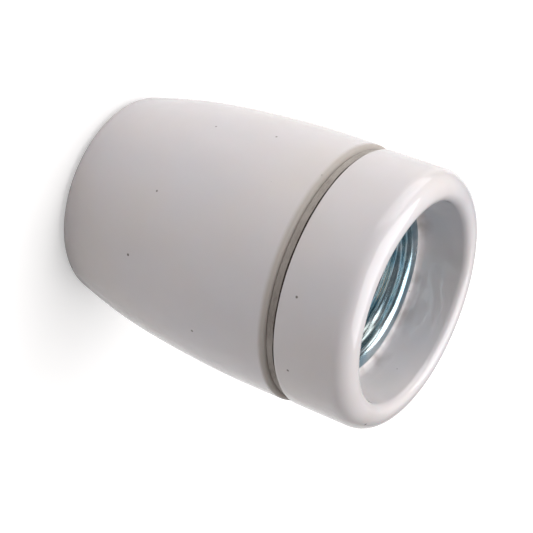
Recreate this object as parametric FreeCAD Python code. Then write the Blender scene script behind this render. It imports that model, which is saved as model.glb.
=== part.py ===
import FreeCAD
import Part
import math
import os
from FreeCAD import Vector

os.makedirs("parts", exist_ok=True)

# The lamp holder stands on the closed end of its dome, with the mouth up.
# Origin: centre of the dome's end face. Z runs along the axis to the mouth. Millimetres.

# Lamp thread, two arcs per side, inside surface of the shell
lampPitch = 3.629
lampArc = 1.025
lampRoot = 13.345
sheet = 0.4
threadPlay = 0.25
shellBottom = 20.8
flareBend = 1.0
flareWidth = 2.855
turnSteps = 32
pitchSteps = 8
fadePart = 0.6

# Whole holder
totalHeight = 63.4
skirtHeight = 14.15
ringThickness = 1.5
ringGap = 0.2
ringInset = 0.6
ringEase = 0.15

# Skirt, built outward from the shell's flange
flangePlay = 1.4
wallTaper = 0.68
lipInner = 1.64
lipOuter = 3.58
coveRadius = 1.3
ledgeDepth = 9.7
borePlay = 0.605
spigotInset = 4.6
spigotLength = 3.4
spigotWall = 3.3
edgeRounding = 0.35
spigotEase = 0.5

# Dome, outside as steps out from the skirt's radius, at even heights from its rim to its end
domeBulge = [0.20, 0.21, -0.19, -0.99, -2.29, -4.38]
domeEndRounding = 2.58
domeEndSlope = 0.249
domeRimRounding = 1.3
domeRimEase = 0.5
domeFloor = 6.0
domeFloorFillet = 3.0
domeStepHeight = 25.0
domeStepRise = 2.0
spigotPlay = 0.7
ringPlay = 0.3

# Contact block
blockBottom = 16.0
blockThick = 4.0
blockInset = 5.6
blockPlay = 0.4
blockLedge = 1.5
bossTop = 29.5
bossEase = 0.6

# Entry thread M10 x 1 and its bush M12 x 1
entryRadius = 4.46
bushWall = 1.44
collarWidth = 2.3
collarTop = 1.8
collarRecess = 0.3
recessPlay = 0.4
holePlay = 0.25
bushTop = 11.6
bushEase = 0.5
nutWall = 1.7
nutThick = 2.2
washerWidth = 2.3
washerThick = 0.8
washerPlay = 0.15
threadFit = 0.05

# Bracket
bracketSheet = 1.2
bracketWidth = 8.0
bracketPlay = 2.6
bracketPlate = 8.8
earDrop = 0.6
earInner = 5.0

# Block screws M3
blockScrewX = 7.8
blockScrewRadius = 1.45
blockScrewHead = 2.75
blockScrewHeadThick = 2.0
blockScrewSink = 3.2
blockScrewPlay = 0.3
blockScrewShort = 0.2

# Terminals, screws M3.5
terminalInset = 3.8
terminalThick = 1.8
terminalHalf = 3.0
terminalMargin = 2.9
rivetY = 6.5
neutralRivetY = 7.0
rivetRadius = 1.45
rivetHead = 2.3
rivetHeadThick = 1.0
rivetMargin = 2.1
rivetPlay = 0.08
rivetSink = 1.6
rivetSinkRadius = 2.9
clampScrewRadius = 1.70
clampScrewHead = 2.9
clampHeadThick = 2.2
clampScrewReach = 2.0
clampScrewPocket = 2.4
clampWasherThick = 1.0
clampWasherHalf = 3.0
clampWasherEase = 0.6
fitRunning = 0.05
earthZ = 10.8
earthReach = 1.6
screwSlot = 0.8
screwEase = 0.3
contactSheet = 0.5
contactHalf = 2.6
sideContactPlay = 0.355
sideContactTop = 27.2
sideSlotPlay = 0.5
leafBendY = 3.9
leafTipRise = 2.6

# How far a cut reaches past the face that it leaves
pastFace = 1.0

flareRadius = lampRoot + flareWidth
bushRadius = entryRadius + bushWall
nutFlats = 2 * (bushRadius + nutWall)
skirtBore = lampRoot + sheet + borePlay
ledgeEase = flareBend - borePlay
wallLedge = flareRadius + flangePlay
wallMouth = wallLedge + wallTaper
lipCrest = wallMouth + lipInner
skirtRadius = lipCrest + lipOuter
ringRadius = skirtRadius - ringInset
spigotRadius = skirtRadius - spigotInset
spigotInner = spigotRadius - spigotWall
domeRadii = [skirtRadius + bulge for bulge in domeBulge]
domeRimInner = spigotRadius + spigotPlay
blockRadius = skirtRadius - blockInset
domeMiddleInner = blockRadius + blockPlay
domeLowerInner = blockRadius - blockLedge
jointHeight = totalHeight - skirtHeight
ringTop = jointHeight - ringGap
ringBottom = ringTop - ringThickness
ledgeHeight = totalHeight - ledgeDepth
blockTop = blockBottom + blockThick
collarRadius = bushRadius + collarWidth
washerRadius = bushRadius + washerWidth
bracketReach = domeLowerInner - bracketPlay
terminalY = domeLowerInner - terminalInset
plateTop = domeFloor + bracketSheet
earTop = blockBottom - earDrop
earBottom = earTop - bracketSheet
blockScrewSeat = bossTop - blockScrewSink
blockScrewEnd = earBottom - blockScrewShort
sideContactY = lampRoot + sheet + sideContactPlay


def line(a, b):
    return Part.makeLine(a, b)


def at(radius, height):
    return Vector(radius, 0, height)


def arc(centre, radius, start, end):
    """An arc in the XZ plane, angles in degrees from X towards Z, through its middle."""
    points = []
    for angle in (start, (start + end) / 2.0, end):
        turn = math.radians(angle)
        points.append(centre + at(radius * math.cos(turn), radius * math.sin(turn)))
    return Part.Arc(*points).toShape()


def revolve(edges):
    """A solid turned about Z from edges in the XZ plane, joined in order and closed."""
    face = Part.Face(Part.Wire(edges))
    return face.revolve(Vector(), Vector(0, 0, 1), 360)


def turned(corners):
    points = [at(*corner) for corner in corners]
    return revolve([line(a, b) for a, b in zip(points, points[1:] + points[:1])])


def cylinder(radius, bottom, top, x=0.0, y=0.0):
    return Part.makeCylinder(radius, top - bottom, Vector(x, y, bottom))


def block(x0, x1, y0, y1, z0, z1):
    return Part.makeBox(x1 - x0, y1 - y0, z1 - z0, Vector(x0, y0, z0))


def hexagon(flats, bottom, top):
    radius = flats / math.sqrt(3.0)
    corners = []
    for i in range(7):
        turn = math.radians(60 * i + 30)
        corners.append(Vector(radius * math.cos(turn), radius * math.sin(turn), bottom))
    return Part.Face(Part.makePolygon(corners)).extrude(Vector(0, 0, top - bottom))


def save(shape, name):
    if not shape.isValid():
        raise ValueError(name + " isn't a valid solid")
    shape.exportStep("parts/" + name + ".step")
    print(name, len(shape.Solids), round(shape.Volume, 1))


# Lamp thread

def knuckle(along, offset):
    """Radius of the rolled thread at a distance along the axis from a crest."""
    rise = math.sqrt(lampArc ** 2 - (lampPitch / 4) ** 2)
    crest = lampRoot - 2 * (lampArc - rise)
    half = lampPitch / 2
    along = along % lampPitch
    along = min(along, lampPitch - along)
    crestArc = lampArc - offset
    rootArc = lampArc + offset
    if along <= crestArc * lampPitch / 4 / lampArc:
        return crest + lampArc - math.sqrt(crestArc ** 2 - along ** 2)
    return lampRoot - lampArc + math.sqrt(rootArc ** 2 - (half - along) ** 2)


def threadRadius(turn, height, offset, low, high, endRadius):
    """The thread radius, eased to a plain round at both ends."""
    fade = fadePart * lampPitch
    ease = min(1.0, (height - low) / fade, (high - height) / fade)
    ease = max(0.0, ease)
    ease = ease * ease * (3 - 2 * ease)
    radius = knuckle(height - lampPitch * turn / (2 * math.pi), offset)
    return endRadius + ease * (radius - endRadius)


def threadRows(offset, low, high, endRadius):
    """Rows of points round the axis, from low to high."""
    count = int(math.ceil((high - low) / lampPitch * pitchSteps))
    rows = []
    for k in range(count + 1):
        height = low + (high - low) * k / count
        row = []
        for i in range(turnSteps):
            turn = 2 * math.pi * i / turnSteps
            radius = threadRadius(turn, height, offset, low, high, endRadius)
            row.append(Vector(radius * math.cos(turn), radius * math.sin(turn), height))
        rows.append(row)
    return rows


def plainRow(radius, height):
    row = []
    for i in range(turnSteps):
        turn = 2 * math.pi * i / turnSteps
        row.append(Vector(radius * math.cos(turn), radius * math.sin(turn), height))
    return row


def facets(rows, closed):
    """Triangles between rows that follow one another, the last back to the first if closed."""
    points = [point for row in rows for point in row]
    last = len(rows) if closed else len(rows) - 1
    triangles = []
    for k in range(last):
        low = k * turnSteps
        high = (k + 1) % len(rows) * turnSteps
        for i in range(turnSteps):
            j = (i + 1) % turnSteps
            triangles.append((low + i, low + j, high + j))
            triangles.append((low + i, high + j, high + i))
    shape = Part.Shape()
    shape.makeShapeFromMesh((points, triangles), 0.0001)
    return shape.Faces


def solidFrom(faces):
    shell = Part.makeShell(faces)
    shell.sewShape(0.001)
    solid = Part.makeSolid(shell.Shells[0])
    if solid.Volume < 0:
        solid.reverse()
    return solid


def screwShell():
    """Sheet rolled into the lamp thread, with a flat flange turned out at the top."""
    bendHeight = ledgeHeight - flareBend
    bendRadius = lampRoot + sheet + flareBend
    inner = threadRows(0.0, shellBottom, bendHeight, lampRoot)
    outer = threadRows(sheet, shellBottom, bendHeight, lampRoot + sheet)
    over = []
    under = []
    for angle in (30, 60, 90):
        turn = math.radians(angle)
        for rows, bend in ((over, flareBend + sheet), (under, flareBend)):
            radius = bendRadius - bend * math.cos(turn)
            rows.append(plainRow(radius, bendHeight + bend * math.sin(turn)))
    rim = [plainRow(flareRadius - 0.08, ledgeHeight + sheet)]
    rim.append(plainRow(flareRadius, ledgeHeight + sheet - 0.08))
    rim.append(plainRow(flareRadius, ledgeHeight))
    return solidFrom(facets(inner + over + rim + under[::-1] + outer[::-1], True))


# Porcelain

def dome():
    """Outside as a smooth barrel line, inside in three steps, a recessed entry hole at its end."""
    rimCentre = at(domeRadii[0] - domeRimRounding, ringBottom - domeRimRounding)
    rimTop = rimCentre + at(0, domeRimRounding)
    lowest = domeEndRounding * (1 - math.sin(domeEndSlope))
    step = (rimCentre.z - lowest) / (len(domeRadii) - 1)
    curve = Part.BSplineCurve()
    curve.interpolate([at(radius, rimCentre.z - step * i) for i, radius in enumerate(domeRadii)])
    endCentre = at(domeRadii[-1] - domeEndRounding * math.cos(domeEndSlope), domeEndRounding)
    low = arc(endCentre, domeEndRounding, -math.degrees(domeEndSlope), -90)
    filletCentre = at(domeLowerInner - domeFloorFillet, domeFloor + domeFloorFillet)
    floor = arc(filletCentre, domeFloorFillet, -90, 0)
    hole = bushRadius + holePlay
    recess = collarRadius + recessPlay
    inside = [at(domeLowerInner, domeFloor + domeFloorFillet), at(domeLowerInner, blockBottom)]
    inside += [at(domeMiddleInner, blockBottom), at(domeMiddleInner, domeStepHeight)]
    inside += [at(domeRimInner, domeStepHeight + domeStepRise), at(domeRimInner, ringBottom - domeRimEase)]
    inside += [at(domeRimInner + domeRimEase, ringBottom), rimTop]
    outside = [at(endCentre.x, 0), at(recess, 0), at(recess, collarTop), at(hole, collarTop)]
    outside += [at(hole, domeFloor), at(filletCentre.x, domeFloor)]
    edges = [arc(rimCentre, domeRimRounding, 90, 0), curve.toShape(), low]
    edges += [line(a, b) for a, b in zip(outside, outside[1:])]
    edges.append(floor)
    edges += [line(a, b) for a, b in zip(inside, inside[1:])]
    return revolve(edges)


def skirt():
    """Short straight body with a thick round lip, a ledge for the shell and a spigot below."""
    outerCentre = at(lipCrest, totalHeight - lipOuter)
    innerCentre = at(lipCrest, totalHeight - lipInner)
    coveCentre = at(wallLedge - coveRadius, ledgeHeight + coveRadius)
    edgeCentre = at(skirtRadius - edgeRounding, jointHeight + edgeRounding)
    spigotEnd = jointHeight - spigotLength
    inside = [at(coveCentre.x, ledgeHeight), at(skirtBore + ledgeEase, ledgeHeight)]
    inside += [at(skirtBore, ledgeHeight - ledgeEase), at(skirtBore, jointHeight)]
    inside += [at(spigotInner, spigotEnd), at(spigotRadius - spigotEase, spigotEnd)]
    inside += [at(spigotRadius, spigotEnd + spigotEase), at(spigotRadius, jointHeight)]
    inside.append(at(edgeCentre.x, jointHeight))
    edges = [arc(outerCentre, lipOuter, 0, 90), arc(innerCentre, lipInner, 90, 180)]
    edges.append(line(at(wallMouth, innerCentre.z), at(wallLedge, coveCentre.z)))
    edges.append(arc(coveCentre, coveRadius, 0, -90))
    edges += [line(a, b) for a, b in zip(inside, inside[1:])]
    edges.append(arc(edgeCentre, edgeRounding, -90, 0))
    edges.append(line(at(skirtRadius, edgeCentre.z), at(skirtRadius, outerCentre.z)))
    return revolve(edges)


def jointRing():
    inner = spigotRadius + ringPlay
    low = ringBottom
    high = ringTop
    ease = ringEase
    corners = [(inner, low), (ringRadius - ease, low), (ringRadius, low + ease)]
    corners += [(ringRadius, high - ease), (ringRadius - ease, high), (inner, high)]
    return turned(corners)


# Contact block

def contactBlock():
    """Round steatite block with a threaded boss that carries the shell and the contacts."""
    crest = knuckle(0.0, -threadPlay)
    rows = threadRows(-threadPlay, blockTop, bossTop - bossEase, crest)
    rows.append(plainRow(crest - bossEase, bossTop))
    side = facets(rows, False)
    foot = Part.makePolygon(rows[0] + rows[0][:1])
    lid = Part.Face(Part.makePolygon(rows[-1] + rows[-1][:1]))
    rim = Part.Wire(Part.makeCircle(blockRadius, at(0, blockTop)))
    top = Part.makeFace([rim, foot], "Part::FaceMakerBullseye")
    disc = cylinder(blockRadius, blockBottom, blockTop)
    rest = [face for face in disc.Faces if face.CenterOfMass.z < blockTop - blockThick / 4]
    solid = solidFrom(side + [lid, top] + rest)
    return solid.cut(Part.makeCompound(blockHoles()))


def blockHoles():
    low = blockBottom - pastFace
    high = bossTop + pastFace
    shank = blockScrewRadius + blockScrewPlay
    riveted = rivetRadius + rivetPlay
    holes = []
    for x in (-blockScrewX, blockScrewX):
        holes.append(cylinder(shank, low, blockScrewSeat, x))
        holes.append(cylinder(blockScrewHead + blockScrewPlay, blockScrewSeat, high, x))
    holes.append(cylinder(riveted, low, high, 0, rivetY))
    holes.append(cylinder(riveted, low, blockTop, 0, -neutralRivetY))
    holes.append(cylinder(rivetSinkRadius, blockTop - rivetSink, high, 0, -neutralRivetY))
    pocket = clampScrewRadius + sideSlotPlay
    for y in (-terminalY, terminalY):
        holes.append(cylinder(pocket, low, blockBottom + clampScrewPocket, 0, y))
    half = contactHalf + sideSlotPlay
    slotIn = -sideContactY + sideSlotPlay
    slotOut = -sideContactY - contactSheet - sideSlotPlay
    holes.append(block(-half, half, slotOut, slotIn, low, blockTop + pastFace))
    return holes


# Entry

def entryBush():
    """Bush with a collar under the dome's end, tapped through for the entry thread."""
    low = collarRecess
    corners = [(entryRadius + bushEase, low), (collarRadius - screwEase, low)]
    corners += [(collarRadius, low + screwEase)]
    corners += [(collarRadius, collarTop), (bushRadius, collarTop), (bushRadius, bushTop - bushEase)]
    corners += [(bushRadius - bushEase, bushTop), (entryRadius, bushTop), (entryRadius, low + bushEase)]
    return turned(corners)


def entryWasher():
    outer = cylinder(washerRadius, plateTop, plateTop + washerThick)
    hole = bushRadius + washerPlay
    return outer.cut(cylinder(hole, plateTop - pastFace, plateTop + washerThick + pastFace))


def entryNut():
    """Hexagon nut, its corners eased by a cone at both faces."""
    low = plateTop + washerThick
    high = low + nutThick
    corner = nutFlats / math.sqrt(3.0) + 0.01
    flat = nutFlats / 2.0
    ease = (corner - flat) * 0.6
    corners = [(0, low), (flat, low), (corner, low + ease)]
    corners += [(corner, high - ease), (flat, high), (0, high)]
    body = hexagon(nutFlats, low, high).common(turned(corners))
    return body.cut(cylinder(bushRadius + threadFit, low - pastFace, high + pastFace))


def isOuterBend(edge):
    box = edge.BoundBox
    across = box.YLength > bracketWidth - 0.1 and box.XLength < 0.01 and box.ZLength < 0.01
    outer = abs(abs(box.XMin) - bracketReach) < 0.01
    return across and outer and (abs(box.ZMin - domeFloor) < 0.01 or abs(box.ZMin - earTop) < 0.01)


def mountingBracket():
    """Strap under the nut with two legs, each turned in at the top as a tapped ear."""
    half = bracketWidth / 2.0
    leg = bracketReach - bracketSheet
    bottom = domeFloor
    parts = [block(-bracketReach, bracketReach, -half, half, bottom, plateTop)]
    parts.append(cylinder(bracketPlate, bottom, plateTop))
    for side in (-1, 1):
        x0, x1 = sorted((side * leg, side * bracketReach))
        parts.append(block(x0, x1, -half, half, bottom, earTop))
        x0, x1 = sorted((side * earInner, side * bracketReach))
        parts.append(block(x0, x1, -half, half, earBottom, earTop))
    body = parts[0].multiFuse(parts[1:]).removeSplitter()
    bends = [edge for edge in body.Edges if isOuterBend(edge)]
    body = body.makeFillet(bracketSheet * 0.9, bends)
    holes = [cylinder(bushRadius + holePlay, bottom - pastFace, plateTop + pastFace)]
    for x in (-blockScrewX, blockScrewX):
        holes.append(cylinder(blockScrewRadius + threadFit, earBottom - pastFace, earTop + pastFace, x))
    start = Vector(leg - pastFace, 0, earthZ)
    deep = bracketSheet + 2 * pastFace
    tapped = Part.makeCylinder(clampScrewRadius + fitRunning, deep, start, Vector(1, 0, 0))
    return body.cut(Part.makeCompound(holes + [tapped]))


# Screws and clamp washers, first standing at the origin with the head below and the shank up

def slottedScrew(head, headThick, shank, length):
    """Cheese head below 0, shank above 0 with a chamfered end, slot across the head."""
    ease = screwEase
    corners = [(0, -headThick), (head - ease, -headThick), (head, -headThick + ease), (head, 0)]
    corners += [(shank, 0), (shank, length - ease), (shank - ease, length), (0, length)]
    half = screwSlot / 2
    slot = block(-head - pastFace, head + pastFace, -half, half, -headThick - pastFace, -headThick / 2)
    return turned(corners).cut(slot)


def clampScrew(length):
    return slottedScrew(clampScrewHead, clampHeadThick, clampScrewRadius, length)


def upright(body):
    """The short edges of a flat blank that stand along Z."""
    return [edge for edge in body.Edges if abs(edge.tangentAt(edge.FirstParameter).z) > 0.9]


def clampWasher():
    half = clampWasherHalf
    body = block(-half, half, -half, half, 0, clampWasherThick)
    body = body.makeChamfer(clampWasherEase, upright(body))
    return body.cut(cylinder(clampScrewRadius + fitRunning, -pastFace, clampWasherThick + pastFace))


def placed(shape, x, y, z):
    moved = shape.copy()
    moved.translate(Vector(x, y, z))
    return moved


def towardLeg(shape):
    """The earth screw and its washer point along X, into the bracket's leg."""
    moved = shape.copy()
    moved.rotate(Vector(), Vector(0, 1, 0), 90)
    moved.translate(Vector(bracketReach - bracketSheet - clampWasherThick, 0, earthZ))
    return moved


def blockScrews():
    """Two long screws, heads up in the boss, shanks down into the bracket's ears."""
    length = blockScrewSeat - blockScrewEnd
    both = []
    for x in (-blockScrewX, blockScrewX):
        screw = slottedScrew(blockScrewHead, blockScrewHeadThick, blockScrewRadius, length)
        screw.rotate(Vector(), Vector(1, 0, 0), 180)
        both.append(placed(screw, x, 0, blockScrewSeat))
    return Part.makeCompound(both)


# Contacts and terminals

def terminalBar(near, top):
    """Thick brass bar under the block, from its rivet out to its tapped hole."""
    half = terminalHalf
    low = top - terminalThick
    bar = block(-half, half, near - rivetMargin, terminalY + terminalMargin, low, top)
    bar = bar.makeChamfer(clampWasherEase, upright(bar))
    tapped = cylinder(clampScrewRadius + fitRunning, low - pastFace, top + pastFace, 0, terminalY)
    riveted = cylinder(rivetRadius + rivetPlay, low - pastFace, top + pastFace, 0, near)
    return bar.cut(Part.makeCompound([tapped, riveted]))


def mirrored(shape):
    return shape.mirror(Vector(), Vector(0, 1, 0))


def rivet(low, high, y):
    """Solid rivet with a flat head below and a closed head above."""
    head = rivetHead
    thick = rivetHeadThick
    ease = thick * 0.4
    corners = [(0, low - thick), (head - ease, low - thick), (head, low - thick + ease)]
    corners += [(head, low), (rivetRadius, low), (rivetRadius, high), (head - ease / 2, high)]
    corners += [(head - ease, high + thick / 2), (head - 2 * ease, high + thick * 0.8)]
    corners += [(0, high + thick * 0.9)]
    return placed(turned(corners), 0, y, 0)


def sheetStrip(corners, half, thick):
    """Strip of sheet: a line of corners in the YZ plane, a thickness on its left, a width in X."""
    points = [Vector(-half, y, z) for y, z in corners]
    normals = []
    for a, b in zip(points, points[1:]):
        along = b.sub(a)
        normals.append(Vector(0, -along.z, along.y).normalize())
    offset = [points[0] + normals[0] * thick]
    for i in range(1, len(points) - 1):
        mid = (normals[i - 1] + normals[i]).normalize()
        offset.append(points[i] + mid * (thick / mid.dot(normals[i])))
    offset.append(points[-1] + normals[-1] * thick)
    outline = Part.makePolygon(points + offset[::-1] + points[:1])
    return Part.Face(outline).extrude(Vector(2 * half, 0, 0))


def centreContact():
    """Leaf spring: flat foot on the boss, tongue rising to a rounded tip on the axis."""
    z = bossTop
    tip = z + leafTipRise
    corners = [(rivetY + contactHalf, z), (leafBendY + 0.3, z), (leafBendY - 0.4, z + 0.2)]
    corners += [(0.9, tip - 0.35), (0.3, tip - 0.08), (-0.3, tip)]
    corners += [(-0.9, tip - 0.1), (-1.5, tip - 0.4), (-3.2, tip - 1.5)]
    leaf = sheetStrip(corners, contactHalf, -contactSheet)
    return leaf.cut(cylinder(rivetRadius + rivetPlay, z - pastFace, z + pastFace, 0, rivetY))


def sideContact():
    """Strip from the neutral terminal up through the block's slot, beside the shell."""
    top = blockBottom
    back = -sideContactY - contactSheet
    corners = [(-neutralRivetY + rivetMargin, top - contactSheet), (back, top - contactSheet)]
    corners += [(back, sideContactTop - 1.5), (back - 0.7, sideContactTop)]
    strip = sheetStrip(corners, contactHalf, -contactSheet)
    low = top - contactSheet - pastFace
    riveted = cylinder(rivetRadius + rivetPlay, low, top + pastFace, 0, -neutralRivetY)
    passed = cylinder(clampScrewRadius + screwEase, low, top + clampScrewPocket, 0, -terminalY)
    return strip.cut(Part.makeCompound([riveted, passed]))


liveLow = blockBottom - terminalThick
neutralTop = blockBottom - contactSheet
neutralLow = neutralTop - terminalThick
neutralSeat = neutralLow - clampWasherThick
liveSeat = liveLow - clampWasherThick
terminalScrew = clampScrew(clampWasherThick + terminalThick + clampScrewReach)

save(dome(), "dome")
save(jointRing(), "joint_ring")
save(skirt(), "skirt")
save(screwShell(), "screw_shell")
save(contactBlock(), "contact_block")
save(entryBush(), "entry_bush")
save(entryWasher(), "entry_washer")
save(entryNut(), "entry_nut")
save(mountingBracket(), "mounting_bracket")
save(blockScrews(), "block_screws")
save(centreContact(), "centre_contact")
save(rivet(liveLow, bossTop + contactSheet, rivetY), "live_rivet")
save(terminalBar(rivetY, blockBottom), "live_terminal")
save(placed(clampWasher(), 0, terminalY, liveSeat), "live_clamp_washer")
save(placed(terminalScrew, 0, terminalY, liveSeat), "live_screw")
save(sideContact(), "side_contact")
save(rivet(neutralLow, blockTop - rivetSink, -neutralRivetY), "neutral_rivet")
save(mirrored(terminalBar(neutralRivetY, neutralTop)), "neutral_terminal")
save(placed(clampWasher(), 0, -terminalY, neutralSeat), "neutral_clamp_washer")
save(placed(terminalScrew, 0, -terminalY, neutralSeat), "neutral_screw")
save(towardLeg(clampWasher()), "earth_clamp_washer")
save(towardLeg(clampScrew(clampWasherThick + bracketSheet + earthReach)), "earth_screw")
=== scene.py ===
import bpy
import numpy as np
from mathutils import Matrix


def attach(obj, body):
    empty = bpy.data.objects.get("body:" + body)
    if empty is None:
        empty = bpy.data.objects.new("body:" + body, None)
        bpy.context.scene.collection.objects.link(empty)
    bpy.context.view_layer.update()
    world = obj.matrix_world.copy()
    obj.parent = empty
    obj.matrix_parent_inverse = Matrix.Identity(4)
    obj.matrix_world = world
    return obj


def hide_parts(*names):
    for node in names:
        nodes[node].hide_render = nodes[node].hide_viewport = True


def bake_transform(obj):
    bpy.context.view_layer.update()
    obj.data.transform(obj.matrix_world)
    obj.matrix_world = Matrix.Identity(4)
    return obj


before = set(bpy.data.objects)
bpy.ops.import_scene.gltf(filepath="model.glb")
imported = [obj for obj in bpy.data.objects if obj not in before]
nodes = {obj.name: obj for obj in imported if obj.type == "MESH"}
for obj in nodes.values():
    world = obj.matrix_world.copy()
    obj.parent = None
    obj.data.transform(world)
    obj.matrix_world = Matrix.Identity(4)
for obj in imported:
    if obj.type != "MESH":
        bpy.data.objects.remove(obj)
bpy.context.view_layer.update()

mm = 0.001
scene = bpy.context.scene
print("stage: frame loaded,", len(nodes), "nodes")

# the holder's shared measures in mm, as in the part's source
holder = dict(
    totalHeight=63.4, jointHeight=49.25, ringTop=49.05, ringBottom=47.55, ledgeHeight=53.7,
    pitch=3.629, arcRadius=1.025, rootRadius=13.345, sheet=0.4,
    turnCount=256,          # points round each lathe-turned piece
)


# an sRGB hex colour as linear red, green, blue and alpha
def linearFromHex(hexText):
    value = np.array([int(hexText[i:i + 2], 16) for i in (1, 3, 5)]) / 255
    linear = np.where(value <= 0.04045, value / 12.92, ((value + 0.055) / 1.055) ** 2.4)
    return (*linear.tolist(), 1.0)


# a grid of points, rows along a closed profile and columns round the axis, made into quads that
# close both ways, and carried by a body
def gridPiece(name, points, body):
    rows, columns = points.shape[:2]
    index = np.arange(rows * columns).reshape(rows, columns)
    above = np.roll(index, -1, 0)
    quads = np.stack([index, np.roll(index, -1, 1), np.roll(above, -1, 1), above], -1).reshape(-1, 4)
    mesh = bpy.data.meshes.new(name)
    mesh.from_pydata((points.reshape(-1, 3) * mm).tolist(), [], quads.tolist())
    mesh.shade_smooth()
    piece = bpy.data.objects.new(name, mesh)
    scene.collection.objects.link(piece)
    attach(piece, body)
    return piece


# a profile of (radius, height) turned about Z: x = r cos t, y = r sin t
def turned(profile, count=None):
    turn = np.linspace(0, 2 * np.pi, count or holder["turnCount"], endpoint=False)
    radius, height = profile[:, :1], profile[:, 1:2]
    return np.stack([radius * np.cos(turn), radius * np.sin(turn), height + 0 * turn], -1)


cornerSteps = 7         # points on each rounded corner of a profile


# each corner of a closed outline becomes an arc of its own radius: the arc starts and ends
# radius * tan(half the turn) from the corner, and is swept about the point where its two normals meet
def rounded(corners, radii, steps=cornerSteps):
    corners, radii = np.array(corners, float), np.array(radii, float)[:, None]
    toLast = np.roll(corners, 1, 0) - corners
    toNext = np.roll(corners, -1, 0) - corners
    toLast /= np.linalg.norm(toLast, axis=1, keepdims=True)
    toNext /= np.linalg.norm(toNext, axis=1, keepdims=True)
    half = np.arccos(np.clip((toLast * toNext).sum(1), -1, 1))[:, None] / 2
    middle = toLast + toNext
    middle /= np.linalg.norm(middle, axis=1, keepdims=True)
    centre = corners + middle * radii / np.sin(half)
    start = corners + toLast * radii / np.tan(half) - centre
    end = corners + toNext * radii / np.tan(half) - centre
    angle = (np.pi - 2 * half)[:, None] + 0 * half[:, None]
    share = np.linspace(0, 1, steps)[None, :, None]
    sweep = np.sin(angle)
    points = (np.sin((1 - share) * angle) * start[:, None] + np.sin(share * angle) * end[:, None]) / sweep
    return (points + centre[:, None]).reshape(-1, 2)


# natural cubic line through given points: the second derivatives solve one small linear system
def smoothLine(x, y, at):
    gap = np.diff(x)
    count = len(x)
    system = np.eye(count)
    right = np.zeros(count)
    inner = np.arange(1, count - 1)
    system[inner, inner - 1] = gap[:-1]
    system[inner, inner] = 2 * (gap[:-1] + gap[1:])
    system[inner, inner + 1] = gap[1:]
    right[1:-1] = 6 * np.diff(np.diff(y) / gap)
    bend = np.linalg.solve(system, right)
    i = np.clip(np.searchsorted(x, at) - 1, 0, count - 2)
    a, b = x[i + 1] - at, at - x[i]
    cubes = (bend[i] * a ** 3 + bend[i + 1] * b ** 3) / (6 * gap[i])
    fromLast = y[i] / gap[i] - bend[i] * gap[i] / 6
    toNext = y[i + 1] / gap[i] - bend[i + 1] * gap[i] / 6
    return cubes + fromLast * a + toNext * b


# points evenly spread along an open line, so that long faces stay short
def spread(points, step):
    length = np.linalg.norm(np.diff(points, axis=0), axis=1)
    parts = np.maximum(1, np.ceil(length / step).astype(int))
    place = np.concatenate([[0], np.cumsum(length)])
    stretches = [np.linspace(a, b, n, endpoint=False) for a, b, n in zip(place[:-1], place[1:], parts)]
    wanted = np.concatenate(stretches + [place[-1:]])
    return np.stack([np.interp(wanted, place, points[:, k]) for k in (0, 1)], -1)


# adds one node with its settings, and links its inputs to other nodes' outputs
def addNode(tree, kind, settings=None, links=None):
    node = tree.nodes.new("ShaderNode" + kind)
    for key, value in (settings or {}).items():
        if isinstance(key, str) and hasattr(node, key) and key not in node.inputs:
            setattr(node, key, value)
        else:
            node.inputs[key].default_value = value
    for key, source in (links or {}).items():
        tree.links.new(source, node.inputs[key])
    return node


# a material with its surface shader, and the object's own coordinates in mm
def newMaterial(name, **shaderValues):
    material = bpy.data.materials.new(name)
    material.use_nodes = True
    tree = material.node_tree
    shader = tree.nodes["Principled BSDF"]
    for key, value in shaderValues.items():
        shader.inputs[key.replace("_", " ")].default_value = value
    place = addNode(tree, "TexCoord")
    inMm = addNode(tree, "VectorMath", {"operation": "SCALE", "Scale": 1000.0}, {0: place.outputs["Object"]})
    return material, tree, shader, inMm.outputs[0]


# how far a point is from the Z axis, in the units of its place
def distanceFromAxis(tree, place):
    flat = addNode(tree, "VectorMath", {"operation": "MULTIPLY", 1: (1, 1, 0)}, {0: place})
    return addNode(tree, "VectorMath", {"operation": "LENGTH"}, {0: flat.outputs[0]}).outputs["Value"]


# a ramp between sRGB hex colours at given places
def ramp(tree, source, stops):
    node = addNode(tree, "ValToRGB", None, {"Fac": source})
    band = node.color_ramp
    while len(band.elements) < len(stops):
        band.elements.new(0.5)
    for element, (place, hexText) in zip(band.elements, stops):
        element.position = place
        element.color = linearFromHex(hexText)
    return node.outputs["Color"]


# materials

# feldspathic porcelain, pressed and fired with a clear glossy glaze: a white with a faint lilac
# tinge, sharp reflections that waver a little, a few dark specks of iron burnt into the glaze, a
# bare matte rim darkened with painted shade, and patches of painted shade in the mouth's corner; sizes and
# heights are in mm
glaze = dict(body="#DDD7D8", warm="#DED7D5", cool="#DBD7DA", speck="#5F554D", paintedRimShade="#BCB4AD",
             tintMm=23.0, waveMm=13.0, waveDepth=1.1, rippleMm=2.4, rippleDepth=0.06,
             speckMm=2.0, speckRadiusMm=0.30, speckShare=0.05,
             roughness=0.16, coat=0.6, matteAndShadeMiddle=47.4, matteAndShadeHalf=0.50, matteAndShadeFade=0.70, bareRoughness=0.6,
             # the last colour and the settings after it paint patchy shade in the mouth's corner
             cornerShade="#7A6F66", cornerShadeMm=6.0, cornerShadeFloor=53.2, cornerShadeLow=53.7, cornerShadeHigh=56.6, cornerShadeRadius=18.4,
             cornerShadeMost=0.75)


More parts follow.
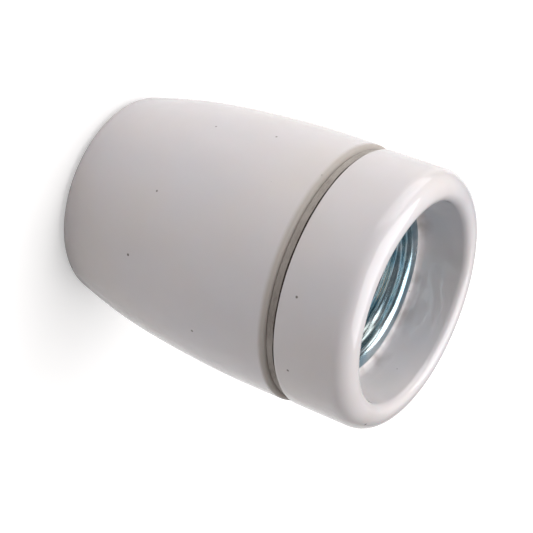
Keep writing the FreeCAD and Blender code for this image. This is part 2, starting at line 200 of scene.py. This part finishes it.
def glazedPorcelain():
    material, tree, shader, place = newMaterial(
        "glazedPorcelain", Roughness=glaze["roughness"], IOR=1.52, Specular_IOR_Level=0.28,
        Coat_Roughness=0.035, Coat_IOR=1.5, Subsurface_Weight=0.06, Subsurface_Scale=0.0016)
    tint = addNode(tree, "TexNoise", {"Scale": 1 / glaze["tintMm"], "Detail": 3.0, "Roughness": 0.5},
                   {"Vector": place})
    tones = [(0.35, glaze["cool"]), (0.5, glaze["body"]), (0.66, glaze["warm"])]
    colour = ramp(tree, tint.outputs["Fac"], tones)
    # iron specks, up to 0.6 mm across: a few cells hold one, and it shows where the surface cuts it
    cell = addNode(tree, "TexVoronoi", {"Scale": 1 / glaze["speckMm"], "Randomness": 1.0}, {"Vector": place})
    reach = glaze["speckRadiusMm"] / glaze["speckMm"]
    fadeOut = {"From Min": reach * 0.6, "From Max": reach, "To Min": 0.9, "To Max": 0.0}
    near = addNode(tree, "MapRange", fadeOut, {"Value": cell.outputs["Distance"]})
    chance = addNode(tree, "SeparateColor", None, {0: cell.outputs["Color"]})
    chosen = addNode(tree, "Math", {"operation": "GREATER_THAN", 1: 1 - glaze["speckShare"]},
                     {0: chance.outputs["Red"]})
    speck = addNode(tree, "Math", {"operation": "MULTIPLY"}, {0: near.outputs[0], 1: chosen.outputs[0]})
    mixed = addNode(tree, "Mix", {"data_type": "RGBA", "B": linearFromHex(glaze["speck"])},
                    {"Factor": speck.outputs[0], "A": colour})
    # the glaze flowed before it set: slow waves that bend the reflections, and a fine ripple on them
    wave = addNode(tree, "TexNoise", {"Scale": 1 / glaze["waveMm"], "Detail": 1.5, "Roughness": 0.4},
                   {"Vector": place})
    fine = addNode(tree, "TexNoise", {"Scale": 1 / glaze["rippleMm"], "Detail": 1.0}, {"Vector": place})
    bumpWave = addNode(tree, "Bump", {"Strength": 0.55, "Distance": glaze["waveDepth"] * mm},
                       {"Height": wave.outputs["Fac"]})
    bumpFine = addNode(tree, "Bump", {"Strength": 0.25, "Distance": glaze["rippleDepth"] * mm},
                       {"Height": fine.outputs["Fac"], "Normal": bumpWave.outputs[0]})
    for socket in ("Normal", "Coat Normal"):
        tree.links.new(bumpFine.outputs[0], shader.inputs[socket])
    # the glaze is wiped off where dome and skirt meet, so the rim there is matte; its colour is darkened
    # there as painted shade
    axes = addNode(tree, "SeparateXYZ", None, {0: place})
    off = addNode(tree, "Math", {"operation": "SUBTRACT", 1: glaze["matteAndShadeMiddle"]}, {0: axes.outputs["Z"]})
    away = addNode(tree, "Math", {"operation": "ABSOLUTE"}, {0: off.outputs[0]})
    span = {"From Min": glaze["matteAndShadeHalf"], "From Max": glaze["matteAndShadeHalf"] + glaze["matteAndShadeFade"]}
    coat = addNode(tree, "MapRange", {**span, "To Min": 0.0, "To Max": glaze["coat"]},
                   {"Value": away.outputs[0]})
    smoothing = {**span, "To Min": glaze["bareRoughness"], "To Max": glaze["roughness"]}
    rough = addNode(tree, "MapRange", smoothing, {"Value": away.outputs[0]})
    paintedRimShadeMask = addNode(tree, "MapRange", {**span, "To Min": 1.0, "To Max": 0.0}, {"Value": away.outputs[0]})
    paintedShadeColour = addNode(tree, "Mix", {"data_type": "RGBA", "B": linearFromHex(glaze["paintedRimShade"])},
                     {"Factor": paintedRimShadeMask.outputs[0], "A": mixed.outputs["Result"]})
    # painted shade in patches in the corner round the shell's flange, thinning out up the wall
    patch = addNode(tree, "TexNoise", {"Scale": 1 / glaze["cornerShadeMm"], "Detail": 2.5, "Roughness": 0.5},
                    {"Vector": place})
    patchy = addNode(tree, "MapRange", {"From Min": 0.47, "From Max": 0.68}, {"Value": patch.outputs["Fac"]})
    thinning = {"From Min": glaze["cornerShadeLow"], "From Max": glaze["cornerShadeHigh"],
                "To Min": glaze["cornerShadeMost"], "To Max": 0.0}
    rise = addNode(tree, "MapRange", thinning, {"Value": axes.outputs["Z"]})
    above = addNode(tree, "Math", {"operation": "GREATER_THAN", 1: glaze["cornerShadeFloor"]},
                    {0: axes.outputs["Z"]})
    within = addNode(tree, "Math", {"operation": "LESS_THAN", 1: glaze["cornerShadeRadius"]},
                     {0: distanceFromAxis(tree, place)})
    paintedCornerShade = addNode(tree, "Math", {"operation": "MULTIPLY"}, {0: patchy.outputs[0], 1: rise.outputs[0]})
    for limit in (above, within):
        paintedCornerShade = addNode(tree, "Math", {"operation": "MULTIPLY"}, {0: paintedCornerShade.outputs[0], 1: limit.outputs[0]})
    paintedShadeColour = addNode(tree, "Mix", {"data_type": "RGBA", "B": linearFromHex(glaze["cornerShade"])},
                     {"Factor": paintedCornerShade.outputs[0], "A": paintedShadeColour.outputs["Result"]})
    tree.links.new(paintedShadeColour.outputs["Result"], shader.inputs["Base Color"])
    tree.links.new(coat.outputs[0], shader.inputs["Coat Weight"])
    tree.links.new(rough.outputs[0], shader.inputs["Roughness"])
    return material


# vulcanised fibre, pressed sheet punched into a ring: matte grey-beige with short fibres in the
# plane of the sheet, and a painted shadow line where the skirt overhangs it
fibre = dict(light="#BDB5AE", mid="#A89F98", dark="#857B74", skirtShadow="#352C24",
             fibreMm=0.35, fibreDepth=0.12, cloudMm=6.0, wanderMm=3.0,
             # the last colour on the line above and the settings on this line paint the shadow line under
             # the skirt
             skirtShadowDepth=0.30, skirtShadowWander=0.30, skirtShadowFade=0.10, skirtShadowInner=22.35, skirtShadowOuter=22.75)


def pressedFibre():
    material, tree, shader, place = newMaterial(
        "pressedFibre", Roughness=0.86, IOR=1.5, Sheen_Weight=0.15, Sheen_Roughness=0.5)
    flat = addNode(tree, "VectorMath", {"operation": "MULTIPLY", 1: (0.35, 0.35, 3.2)}, {0: place})
    grain = addNode(tree, "TexNoise", {"Scale": 1 / fibre["fibreMm"], "Detail": 5.0, "Roughness": 0.65},
                    {"Vector": flat.outputs[0]})
    cloud = addNode(tree, "TexNoise", {"Scale": 1 / fibre["cloudMm"], "Detail": 3.0}, {"Vector": place})
    blend = addNode(tree, "Mix", {"data_type": "FLOAT", "Factor": 0.45},
                    {"A": grain.outputs["Fac"], "B": cloud.outputs["Fac"]})
    tones = [(0.34, fibre["dark"]), (0.47, fibre["mid"]), (0.62, fibre["light"])]
    colour = ramp(tree, blend.outputs["Result"], tones)
    # a thin uneven painted shadow line under the skirt: it starts a little below the ring's top edge
    axes = addNode(tree, "SeparateXYZ", None, {0: place})
    wander = addNode(tree, "TexNoise", {"Scale": 1 / fibre["wanderMm"], "Detail": 2.0}, {"Vector": place})
    level = addNode(tree, "Math", {"operation": "MULTIPLY_ADD", 1: fibre["skirtShadowWander"]},
                    {0: wander.outputs["Fac"], 2: axes.outputs["Z"]})
    start = holder["ringTop"] - fibre["skirtShadowDepth"] + fibre["skirtShadowWander"] / 2
    high = addNode(tree, "MapRange", {"From Min": start, "From Max": start + fibre["skirtShadowFade"]},
                   {"Value": level.outputs[0]})
    far = addNode(tree, "MapRange", {"From Min": fibre["skirtShadowInner"], "From Max": fibre["skirtShadowOuter"]},
                  {"Value": distanceFromAxis(tree, place)})
    paintedSkirtShadow = addNode(tree, "Math", {"operation": "MULTIPLY"}, {0: high.outputs[0], 1: far.outputs[0]})
    shade = addNode(tree, "Mix", {"data_type": "RGBA", "B": linearFromHex(fibre["skirtShadow"])},
                    {"Factor": paintedSkirtShadow.outputs[0], "A": colour})
    tree.links.new(shade.outputs["Result"], shader.inputs["Base Color"])
    bump = addNode(tree, "Bump", {"Strength": 0.5, "Distance": fibre["fibreDepth"] * mm},
                   {"Height": grain.outputs["Fac"]})
    tree.links.new(bump.outputs[0], shader.inputs["Normal"])
    return material


# cold-rolled steel sheet, formed by rolling and then zinc plated with a blue passivate: bright
# blue-grey metal, faint yellow and blue clouds, fine marks running round the axis
zinc = dict(pale="#C6D6DC", blue="#8FB2C2", warm="#C3CCC8", cloudMm=7.0, markMm=0.22, markDepth=0.03)


def zincPlate(name, roundMarks, roughness):
    material, tree, shader, place = newMaterial(name, Metallic=1.0, Roughness=roughness)
    cloud = addNode(tree, "TexNoise", {"Scale": 1 / zinc["cloudMm"], "Detail": 3.0, "Roughness": 0.55},
                    {"Vector": place})
    tones = [(0.33, zinc["blue"]), (0.52, zinc["pale"]), (0.70, zinc["warm"])]
    colour = ramp(tree, cloud.outputs["Fac"], tones)
    tree.links.new(colour, shader.inputs["Base Color"])
    # the rolls drag along the turn, so marks are long across X and Y and thin along Z
    stretch = (0.06, 0.06, 1.0) if roundMarks else (1.0, 1.0, 0.5)
    marks = addNode(tree, "VectorMath", {"operation": "MULTIPLY", 1: stretch}, {0: place})
    scratch = addNode(tree, "TexNoise", {"Scale": 1 / zinc["markMm"], "Detail": 3.0},
                      {"Vector": marks.outputs[0]})
    dulling = {"From Min": 0.3, "From Max": 0.7, "To Min": roughness - 0.07, "To Max": roughness + 0.09}
    rough = addNode(tree, "MapRange", dulling, {"Value": scratch.outputs["Fac"]})
    tree.links.new(rough.outputs[0], shader.inputs["Roughness"])
    bump = addNode(tree, "Bump", {"Strength": 0.22, "Distance": zinc["markDepth"] * mm},
                   {"Height": scratch.outputs["Fac"]})
    tree.links.new(bump.outputs[0], shader.inputs["Normal"])
    return material


# steatite, dry-pressed soapstone ceramic fired without glaze: dense matte ivory with fine pores
talc = dict(light="#E6E2D8", dark="#D9D3C6", cloudMm=5.0, poreMm=0.30, poreDepth=0.06)


def pressedSteatite():
    material, tree, shader, place = newMaterial("pressedSteatite", Roughness=0.62, IOR=1.55)
    cloud = addNode(tree, "TexNoise", {"Scale": 1 / talc["cloudMm"], "Detail": 4.0}, {"Vector": place})
    colour = ramp(tree, cloud.outputs["Fac"], [(0.35, talc["dark"]), (0.6, talc["light"])])
    tree.links.new(colour, shader.inputs["Base Color"])
    pores = addNode(tree, "TexNoise", {"Scale": 1 / talc["poreMm"], "Detail": 4.0, "Roughness": 0.7},
                    {"Vector": place})
    bump = addNode(tree, "Bump", {"Strength": 0.35, "Distance": talc["poreDepth"] * mm},
                   {"Height": pores.outputs["Fac"]})
    tree.links.new(bump.outputs[0], shader.inputs["Normal"])
    return material


# drawn brass and rolled phosphor bronze: yellow and reddish metal with long drawing marks and
# a thin brown bloom of oxide
copper = dict(cloudMm=4.0, markMm=0.15, markDepth=0.03)


def drawnCopperAlloy(name, pale, deep, along, roughness):
    material, tree, shader, place = newMaterial(name, Metallic=1.0, Roughness=roughness)
    cloud = addNode(tree, "TexNoise", {"Scale": 1 / copper["cloudMm"], "Detail": 4.0, "Roughness": 0.6},
                    {"Vector": place})
    colour = ramp(tree, cloud.outputs["Fac"], [(0.36, deep), (0.6, pale)])
    tree.links.new(colour, shader.inputs["Base Color"])
    marks = addNode(tree, "VectorMath", {"operation": "MULTIPLY", 1: along}, {0: place})
    drawn = addNode(tree, "TexNoise", {"Scale": 1 / copper["markMm"], "Detail": 2.0},
                    {"Vector": marks.outputs[0]})
    dulling = {"From Min": 0.3, "From Max": 0.7, "To Min": roughness - 0.06, "To Max": roughness + 0.10}
    rough = addNode(tree, "MapRange", dulling, {"Value": drawn.outputs["Fac"]})
    tree.links.new(rough.outputs[0], shader.inputs["Roughness"])
    bump = addNode(tree, "Bump", {"Strength": 0.2, "Distance": copper["markDepth"] * mm},
                   {"Height": drawn.outputs["Fac"]})
    tree.links.new(bump.outputs[0], shader.inputs["Normal"])
    return material


porcelain = glazedPorcelain()
fibreSheet = pressedFibre()
rolledZinc = zincPlate("zincPlatedRolledSteel", True, 0.20)
turnedZinc = zincPlate("zincPlatedTurnedSteel", False, 0.30)
steatite = pressedSteatite()
brass = drawnCopperAlloy("drawnBrass", "#D9B871", "#B08D4C", (1.0, 0.08, 1.0), 0.28)
bronze = drawnCopperAlloy("rolledPhosphorBronze", "#D3A071", "#A66F47", (1.0, 0.08, 1.0), 0.26)
print("stage: materials made")


# dome

sharp = 0.001           # the rounding of a corner that stays sharp, in mm
dome = dict(radii=[23.70, 23.71, 23.31, 22.51, 21.21, 19.12], endRounding=2.58, endSlope=0.249,
            rimRounding=1.3, rimInner=19.6, middleInner=18.3, lowerInner=16.4, floor=6.0, floorFillet=3.0,
            stepHeight=25.0, stepRise=2.0, blockBottom=16.0, recess=8.6, recessTop=1.8, hole=6.15)


# outside: cubic line through the measured radii, then an arc into the flat end; inside: rounded
# steps, where the closing corners only join the outline up outside and are cut off again
def domeProfile():
    ease, top = dome["rimRounding"], holder["ringBottom"]
    lowest = dome["endRounding"] * (1 - np.sin(dome["endSlope"]))
    rimCentre = dome["radii"][0] - ease, top - ease
    radii = np.array(dome["radii"])[::-1]
    heights = np.linspace(lowest, rimCentre[1], len(radii))
    at = np.linspace(heights[-1], heights[0], 90)
    side = np.stack([smoothLine(heights, radii, at), at], -1)
    turn = np.linspace(np.pi / 2, 0, 12, endpoint=False)
    rim = np.stack([rimCentre[0] + ease * np.cos(turn), rimCentre[1] + ease * np.sin(turn)], -1)
    endX = dome["radii"][-1] - dome["endRounding"] * np.cos(dome["endSlope"])
    turn = np.linspace(-dome["endSlope"], -np.pi / 2, 14)[1:]
    end = np.stack([endX, 0]) + dome["endRounding"] * np.stack([np.cos(turn), 1 + np.sin(turn)], -1)
    seat, step = dome["blockBottom"], dome["stepHeight"]
    corners = [     # radius, height, rounding
        (dome["recess"], 0, 0.5), (dome["recess"], dome["recessTop"], 0.3),
        (dome["hole"], dome["recessTop"], 0.5), (dome["hole"], dome["floor"], 0.5),
        (dome["lowerInner"], dome["floor"], dome["floorFillet"]), (dome["lowerInner"], seat, 0.3),
        (dome["middleInner"], seat, 0.3), (dome["middleInner"], step, 1.0),
        (dome["rimInner"], step + dome["stepRise"], 1.0), (dome["rimInner"], top, 0.6)]
    closing = [(rimCentre[0], top, sharp), (40, 30, sharp), (endX, 0, sharp)]
    outline = np.array(corners + closing)
    inside = spread(rounded(outline[:, :2], outline[:, 2])[:len(corners) * cornerSteps], 1.2)
    return np.concatenate([rim, side, end, inside])


porcelainDome = gridPiece("porcelainDome", turned(domeProfile()[::-1]), "dome_and_block")
porcelainDome.data.materials.append(porcelain)
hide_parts("dome")


# skirt

skirt = dict(radius=23.5, lipOuter=3.58, wallMouth=18.28, wallLedge=17.6, cove=1.3, bore=14.35,
             spigotRadius=18.9, spigotLength=3.4, spigotInner=15.6, edge=0.35)


# two arcs meet at the crest of the lip; the rest is a rounded outline down the inside and back,
# whose closing corners are cut off again
def skirtProfile():
    total, joint, ledge = holder["totalHeight"], holder["jointHeight"], holder["ledgeHeight"]
    lipOuter = skirt["lipOuter"]
    crest = skirt["radius"] - lipOuter
    lipInner = crest - skirt["wallMouth"]
    turn = np.linspace(0, np.pi / 2, 18, endpoint=False)
    outer = np.stack([crest + lipOuter * np.cos(turn), total - lipOuter * (1 - np.sin(turn))], -1)
    turn = np.linspace(np.pi / 2, np.pi, 14)
    inner = np.stack([crest + lipInner * np.cos(turn), total - lipInner * (1 - np.sin(turn))], -1)
    foot = joint - skirt["spigotLength"]
    corners = [     # radius, height, rounding
        (skirt["wallLedge"], ledge, skirt["cove"]), (skirt["bore"], ledge, 0.4), (skirt["bore"], joint, 0.6),
        (skirt["spigotInner"], foot, 0.5), (skirt["spigotRadius"], foot, 0.5),
        (skirt["spigotRadius"], joint, 0.15), (skirt["radius"], joint, skirt["edge"])]
    closing = [(skirt["radius"], total, sharp), (skirt["wallMouth"], total, sharp)]
    outline = np.array(corners + closing)
    rest = rounded(outline[:, :2], outline[:, 2])[:len(corners) * cornerSteps]
    rest = spread(np.concatenate([inner[-1:], rest, [[skirt["radius"], total - lipOuter]]]), 1.0)
    return np.concatenate([outer, inner, rest[1:-1]])


porcelainSkirt = gridPiece("porcelainSkirt", turned(skirtProfile()), "skirt_and_shell")
porcelainSkirt.data.materials.append(porcelain)
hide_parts("skirt")


# ring

ring = dict(inner=19.2, outer=22.9, edge=0.18)
ringOutline = rounded(
    [(ring["inner"], holder["ringBottom"]), (ring["outer"], holder["ringBottom"]),
     (ring["outer"], holder["ringTop"]), (ring["inner"], holder["ringTop"])],
    [0.05, ring["edge"], ring["edge"], 0.05], 6)
fibreRing = gridPiece("fibreRing", turned(ringOutline), "joint_ring")
fibreRing.data.materials.append(fibreSheet)
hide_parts("joint_ring")


# screw shell

shell = dict(bottom=20.8, bend=1.0, flange=16.2, turnCount=176, pitchSteps=20, fade=0.6)


# the rolled thread: along the axis from a crest, one arc about a point outside the sheet and then
# one about a point inside it; offset moves to the sheet's other face
def knuckle(along, offset):
    arc, pitch = holder["arcRadius"], holder["pitch"]
    crest = holder["rootRadius"] - 2 * (arc - np.sqrt(arc ** 2 - (pitch / 4) ** 2))
    along = along % pitch
    along = np.minimum(along, pitch - along)
    crestArc, rootArc = arc - offset, arc + offset
    onCrest = along <= crestArc * pitch / 4 / arc
    atCrest = crest + arc - np.sqrt(np.maximum(crestArc ** 2 - along ** 2, 0))
    atRoot = holder["rootRadius"] - arc + np.sqrt(np.maximum(rootArc ** 2 - (pitch / 2 - along) ** 2, 0))
    return np.where(onCrest, atCrest, atRoot)


# radius = end radius + ease * (knuckle(z - pitch * t / 2 pi) - end radius), where the ease rises
# smoothly from 0 at each end
def threadGrid(low, high, offset, endRadius, count, perPitch):
    rows = int(np.ceil((high - low) / holder["pitch"] * perPitch)) + 1
    height = np.linspace(low, high, rows)[:, None]
    turn = np.linspace(0, 2 * np.pi, count, endpoint=False)[None]
    fade = shell["fade"] * holder["pitch"]
    ease = np.clip(np.minimum((height - low) / fade, (high - height) / fade), 0, 1)
    ease = ease ** 2 * (3 - 2 * ease)
    radius = endRadius + ease * (knuckle(height - holder["pitch"] * turn / (2 * np.pi), offset) - endRadius)
    return np.stack([radius * np.cos(turn), radius * np.sin(turn), height + 0 * turn], -1)


def shellGrid():
    ledge, sheet, bend = holder["ledgeHeight"], holder["sheet"], shell["bend"]
    root, high = holder["rootRadius"], holder["ledgeHeight"] - shell["bend"]
    count = shell["turnCount"]
    centre, half = root + sheet + bend, sheet / 2
    turn = np.linspace(0, np.pi / 2, 9)[1:]
    over = np.stack([centre - (bend + sheet) * np.cos(turn), high + (bend + sheet) * np.sin(turn)], -1)
    under = np.stack([centre - bend * np.cos(turn), high + bend * np.sin(turn)], -1)[::-1]
    edge = np.linspace(np.pi / 2, -np.pi / 2, 9)
    rim = np.stack([shell["flange"] - half + half * np.cos(edge), ledge + half + half * np.sin(edge)], -1)
    inner = threadGrid(shell["bottom"], high, 0.0, root, count, shell["pitchSteps"])
    outer = threadGrid(shell["bottom"], high, sheet, root + sheet, count, shell["pitchSteps"])
    return np.concatenate([inner, turned(np.concatenate([over, rim, under]), count), outer[::-1]])


rolledShell = gridPiece("rolledShell", shellGrid()[::-1], "skirt_and_shell")
rolledShell.data.materials.append(rolledZinc)
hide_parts("screw_shell")
print("stage: dome, skirt, ring and shell made")


# entry bush

bush = dict(collar=8.2, collarLow=0.3, collarTop=1.8, barrel=5.9, top=11.6, bore=4.46,
            threadTop=11.2, innerFrom=0.7, innerPitch=1.0, innerDepth=0.54,
            outerFrom=7.6, outerPitch=1.0, outerDepth=0.45, turnCount=96, rowsPerPitch=10)


# a 60 degree thread: radius = crest + depth * (distance to the nearest ridge, clipped flat at top and foot)
def fineThread(low, high, crest, depth, pitch, count, outward):
    rows = int((high - low) / pitch * bush["rowsPerPitch"]) + 1
    height = np.linspace(low, high, rows)[:, None]
    turn = np.linspace(0, 2 * np.pi, count, endpoint=False)[None]
    wave = np.abs(((height / pitch - turn / (2 * np.pi)) % 1) * 2 - 1)
    groove = np.clip((wave - 0.15) / 0.7, 0, 1)
    ease = np.clip(np.minimum((height - low) / pitch, (high - height) / pitch) * 2, 0, 1)
    radius = crest + (depth if outward else -depth) * groove * ease
    return np.stack([radius * np.cos(turn), radius * np.sin(turn), height + 0 * turn], -1)


def bushGrid():
    count, top, steps = bush["turnCount"], bush["threadTop"], 6
    outline = np.array([     # radius, height, rounding
        (bush["bore"], bush["collarLow"], 0.3), (bush["collar"], bush["collarLow"], 0.3),
        (bush["collar"], bush["collarTop"], 0.15), (bush["barrel"], bush["collarTop"], 0.1),
        (bush["barrel"], bush["top"], 0.35), (bush["bore"], bush["top"], 0.3)])
    outline = rounded(outline[:, :2], outline[:, 2], steps)
    foot, head = turned(outline[:4 * steps], count), turned(outline[4 * steps:], count)
    outer = fineThread(bush["outerFrom"], top, bush["barrel"], bush["outerDepth"], bush["outerPitch"],
                       count, False)
    inner = fineThread(bush["innerFrom"], top, bush["bore"], bush["innerDepth"], bush["innerPitch"],
                       count, True)
    return np.concatenate([foot, outer, head, inner[::-1]])


threadedBush = gridPiece("threadedBush", bushGrid(), "dome_and_block")
threadedBush.data.materials.append(turnedZinc)
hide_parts("entry_bush")


# centre contact: one bent leaf of sheet

leaf = dict(foot=9.1, bend=3.9, tip=0.0, tail=-2.6, base=29.5, tipRise=3.1, tailRise=1.7,
            half=2.6, sheet=0.5, bendRounding=1.5, tipRounding=2.4, edge=0.08, blendStart=4.8, blendEnd=3.2)


# the same line a sheet's thickness further out: each corner moves along the mean of its two normals
def offsetLine(line, thickness):
    along = np.diff(line, axis=0)
    normal = np.stack([along[:, 1], -along[:, 0]], -1) / np.linalg.norm(along, axis=1, keepdims=True)
    before, after = np.vstack([normal[:1], normal]), np.vstack([normal, normal[-1:]])
    middle = before + after
    return line + middle * thickness * 2 / (middle ** 2).sum(1, keepdims=True)


# a rounded outline in the YZ plane carried across X, with a flat face at each side
def leafPiece():
    base = leaf["base"]
    under = np.array([(leaf["foot"], base), (leaf["bend"], base),
                      (leaf["tip"], base + leaf["tipRise"]), (leaf["tail"], base + leaf["tailRise"])])
    over = offsetLine(under, leaf["sheet"])
    inner, outer = leaf["bendRounding"] - leaf["sheet"], leaf["tipRounding"] + leaf["sheet"]
    outline = rounded(np.concatenate([under, over[::-1]]),
                      [leaf["edge"], leaf["bendRounding"], leaf["tipRounding"], leaf["edge"],
                       leaf["edge"], outer, inner, leaf["edge"]], 9)
    count = len(outline)
    sides = [np.column_stack([np.full(count, x), outline]) for x in (-leaf["half"], leaf["half"])]
    index = np.arange(count)
    quads = np.stack([index, index + count, np.roll(index, -1) + count, np.roll(index, -1)], -1).tolist()
    mesh = bpy.data.meshes.new("springLeaf")
    faces = quads + [index.tolist(), (index[::-1] + count).tolist()]
    mesh.from_pydata((np.concatenate(sides) * mm).tolist(), [], faces)
    piece = bpy.data.objects.new("springLeaf", mesh)
    scene.collection.objects.link(piece)
    return piece


springLeaf = leafPiece()
springLeaf.data.materials.append(bronze)
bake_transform(springLeaf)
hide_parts("centre_contact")


# finishes of the pieces that stay as the CAD made them

finishes = {
    "contact_block": steatite,
    "entry_washer": turnedZinc, "entry_nut": turnedZinc,
    "mounting_bracket": turnedZinc, "block_screws": turnedZinc,
    "side_contact": bronze,
    "live_rivet": brass, "neutral_rivet": brass, "live_terminal": brass, "neutral_terminal": brass,
    "live_clamp_washer": turnedZinc, "live_screw": turnedZinc,
    "neutral_clamp_washer": turnedZinc, "neutral_screw": turnedZinc,
    "earth_clamp_washer": turnedZinc, "earth_screw": turnedZinc,
}
for nodeName, finish in finishes.items():
    nodes[nodeName].data.materials.clear()
    nodes[nodeName].data.materials.append(finish)
print("stage: CAD pieces finished")


# floor, lamps and camera

studio = dict(
    floorHalf=6.0, floorDrop=0.0002,         # metres
    floorColour="#DDDBDA", floorGlow=0.45, glowInGloss=0.30,
    glowStart=120, glowEnd=600,              # mm from the holder
    ambient="#DCDDE0", ambientStrength=0.18,
    focalPixels=1587.0, imagePixels=533, sensorWidth=36.0,
    axisInCamera=(0.8291, 0.3226, -0.4568),  # the holder's +Z as the camera sees it: right, down, away
    mouthInCamera=(25.86, 6.65, 269.45),     # the mouth's centre, in mm
    aimHeight=0.032,                         # what the lamps point at, in metres
)

floorMesh = bpy.data.meshes.new("studioFloor")
far, drop = studio["floorHalf"], -studio["floorDrop"]
floorMesh.from_pydata([(-far, -far, drop), (far, -far, drop), (far, far, drop), (-far, far, drop)],
                      [], [(0, 1, 2, 3)])
studioFloor = bpy.data.objects.new("studioFloor", floorMesh)
scene.collection.objects.link(studioFloor)
# white background paper: rough and even, with no pattern of its own
floorMaterial, tree, shader, place = newMaterial(
    "whiteStudioPaper", Roughness=0.9, Base_Color=linearFromHex(studio["floorColour"]))
output = tree.nodes["Material Output"]
path = addNode(tree, "LightPath")
shine = addNode(tree, "Math", {"operation": "MULTIPLY", 1: studio["glowInGloss"]},
                {0: path.outputs["Is Glossy Ray"]})
seen = addNode(tree, "Math", {"operation": "MAXIMUM"},
               {0: path.outputs["Is Camera Ray"], 1: shine.outputs[0]})
seen = addNode(tree, "Math", {"operation": "MAXIMUM"},
               {0: seen.outputs[0], 1: path.outputs["Is Transmission Ray"]})
# the lamps light the floor near the holder only, so its own glow rises to white farther out
glowSpan = {"From Min": studio["glowStart"], "From Max": studio["glowEnd"],
            "To Min": studio["floorGlow"], "To Max": 1.0}
outward = addNode(tree, "MapRange", glowSpan, {"Value": distanceFromAxis(tree, place)})
strength = addNode(tree, "Math", {"operation": "MULTIPLY"}, {0: seen.outputs[0], 1: outward.outputs[0]})
glow = addNode(tree, "Emission", {"Color": (1, 1, 1, 1)}, {"Strength": strength.outputs[0]})
both = addNode(tree, "AddShader", None, {0: shader.outputs[0], 1: glow.outputs[0]})
tree.links.new(both.outputs[0], output.inputs["Surface"])
floorMesh.materials.append(floorMaterial)

world = bpy.data.worlds.new("studioWorld")
scene.world = world
world.use_nodes = True
tree = world.node_tree
tree.nodes.clear()
path = addNode(tree, "LightPath")
seen = addNode(tree, "Math", {"operation": "MAXIMUM"},
               {0: path.outputs["Is Camera Ray"], 1: path.outputs["Is Transmission Ray"]})
ambient = addNode(tree, "Background",
                  {"Color": linearFromHex(studio["ambient"]), "Strength": studio["ambientStrength"]})
white = addNode(tree, "Background", {"Color": (1, 1, 1, 1), "Strength": 1.0})
mixed = addNode(tree, "MixShader", None, {0: seen.outputs[0], 1: ambient.outputs[0], 2: white.outputs[0]})
addNode(tree, "OutputWorld", None, {"Surface": mixed.outputs[0]})

# the camera's axes in the holder's frame, from the fit of the outline
alongZ = np.array(studio["axisInCamera"])
alongZ /= np.linalg.norm(alongZ)
alongY = np.array([0, 0, 1.0]) - alongZ * alongZ[2]
alongY /= np.linalg.norm(alongY)
alongX = np.cross(alongY, alongZ)
frameInCamera = np.stack([alongX, alongY, alongZ], 1)   # columns: the holder's axes in camera coordinates
originInCamera = np.array(studio["mouthInCamera"]) - alongZ * holder["totalHeight"]
camera = bpy.data.objects.new("studioCamera", bpy.data.cameras.new("studioCamera"))
scene.collection.objects.link(camera)
right, down, away = frameInCamera
spot = -frameInCamera.T @ originInCamera * mm
pose = np.eye(4)
pose[:3, 0], pose[:3, 1], pose[:3, 2], pose[:3, 3] = right, -down, -away, spot
camera.matrix_world = Matrix(pose.tolist())
camera.data.sensor_width = studio["sensorWidth"]
camera.data.lens = studio["focalPixels"] / studio["imagePixels"] * studio["sensorWidth"]
camera.data.clip_start = 0.01
scene.camera = camera


# each lamp: its direction in camera terms (right, up, towards the camera), its distance and size
# in metres, and its power in watts
lamps = dict(
    keyLamp=((0.36, 0.90, 0.20), 0.6, 0.7, 2.9),
    mouthLamp=((0.88, -0.16, 0.40), 0.6, 0.70, 5.0),
    fillLamp=((-0.62, 0.05, 1.0), 0.35, 0.25, 0.04),
)


# a square area lamp, out along its direction and aimed at the holder
def softBox(name, direction, distance, size, power):
    lamp = bpy.data.lights.new(name, "AREA")
    lamp.shape, lamp.size, lamp.size_y = "RECTANGLE", size, size
    lamp.energy = power
    lampPiece = bpy.data.objects.new(name, lamp)
    scene.collection.objects.link(lampPiece)
    d = np.array(direction, float)
    d /= np.linalg.norm(d)
    out = right * d[0] - down * d[1] - away * d[2]
    aim = np.array([0, 0, studio["aimHeight"]])
    side = np.cross(right if abs(d[0]) < 0.8 else down, out)
    side /= np.linalg.norm(side)
    up = np.cross(out, side)
    matrix = np.eye(4)
    matrix[:3, 0], matrix[:3, 1], matrix[:3, 2], matrix[:3, 3] = side, up, out, aim + out * distance
    lampPiece.matrix_world = Matrix(matrix.tolist())


for lampName, setting in lamps.items():
    softBox(lampName, *setting)
print("stage: studio made")

scene.view_settings.view_transform = "Standard"
